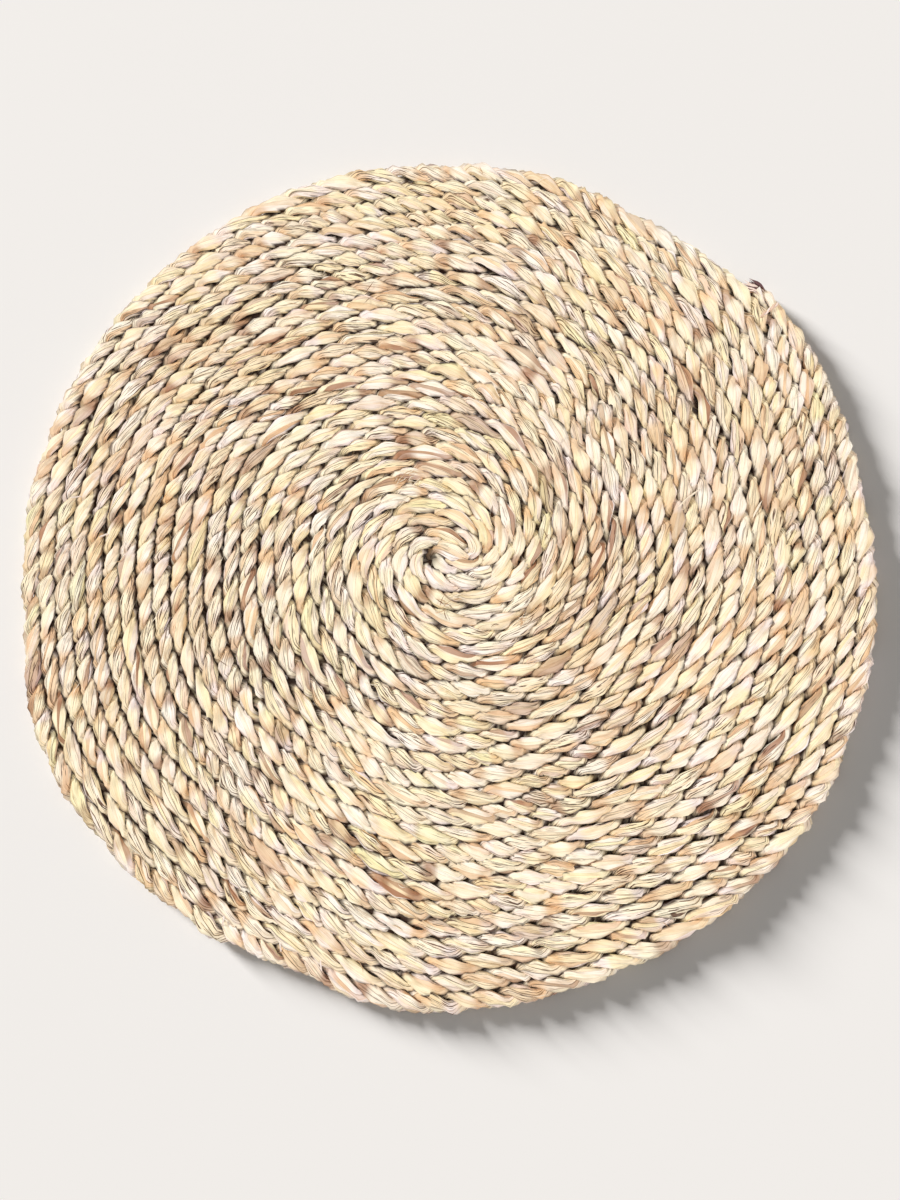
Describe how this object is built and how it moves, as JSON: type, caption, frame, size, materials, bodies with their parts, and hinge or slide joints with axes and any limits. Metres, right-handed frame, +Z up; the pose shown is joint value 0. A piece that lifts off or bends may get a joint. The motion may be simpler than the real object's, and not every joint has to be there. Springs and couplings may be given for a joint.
{
  "type": "round placemat of coiled leaf rope",
  "caption": "Round flat placemat of twisted leaf rope, wound in one spiral and sewn turn to turn, its outer end lashed down.",
  "frame": {"origin": "on the table under the middle of the mat's bounding box", "axes": "+Z up out of the mat's upper face, +X to the right and +Y to the top as the mat is seen from above, the rope's outer end at about 42 degrees from +X"},
  "size_m": [0.371, 0.3676, 0.0076],
  "materials": {
    "leaf_rope": "dried leaf strips twisted into rope, pale straw to tan, matt to faintly satin",
    "leaf_strand": "thin twisted leaf strand, tan, matt"
  },
  "bodies": {
    "root": {"rope_coil": "leaf_rope", "end_lashing": "leaf_strand"}
  },
  "joints": []
}
